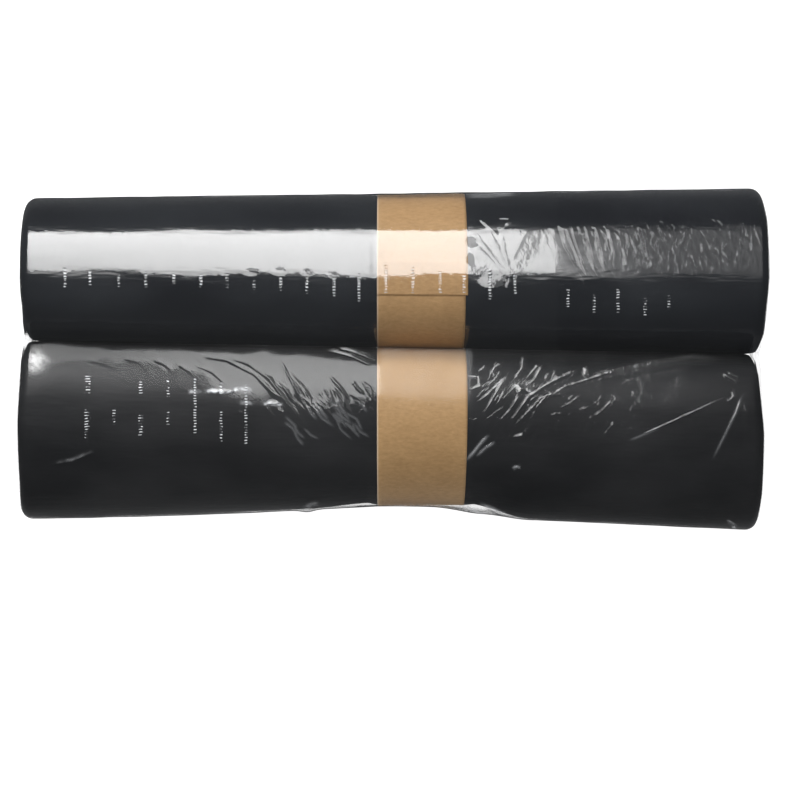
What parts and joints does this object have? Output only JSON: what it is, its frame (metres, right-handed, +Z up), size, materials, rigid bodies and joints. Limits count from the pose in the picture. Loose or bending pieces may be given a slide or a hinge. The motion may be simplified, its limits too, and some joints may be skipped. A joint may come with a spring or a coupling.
{
  "type": "bin bag roll twin pack",
  "caption": "Black bin bags wound into soft rolls without cores, each with a kraft label band, lying side by side and bound together by one wrinkled clear shrink film",
  "frame": {"origin": "Centre of the bounding box in plan, on the floor that the pack lies on", "axes": "X runs along the rolls, Y from the front roll to the rear roll, Z up"},
  "size_m": [0.3514, 0.1636, 0.08],
  "materials": {
    "bag_plastic": "satin black polyethylene",
    "kraft_paper": "plain brown kraft, matt",
    "clear_film": "clear glossy shrink film"
  },
  "bodies": {
    "root": {"rear_roll": "bag_plastic", "front_roll": "bag_plastic", "rear_label_band": "kraft_paper", "front_label_band": "kraft_paper", "shrink_film": "clear_film"}
  },
  "joints": []
}
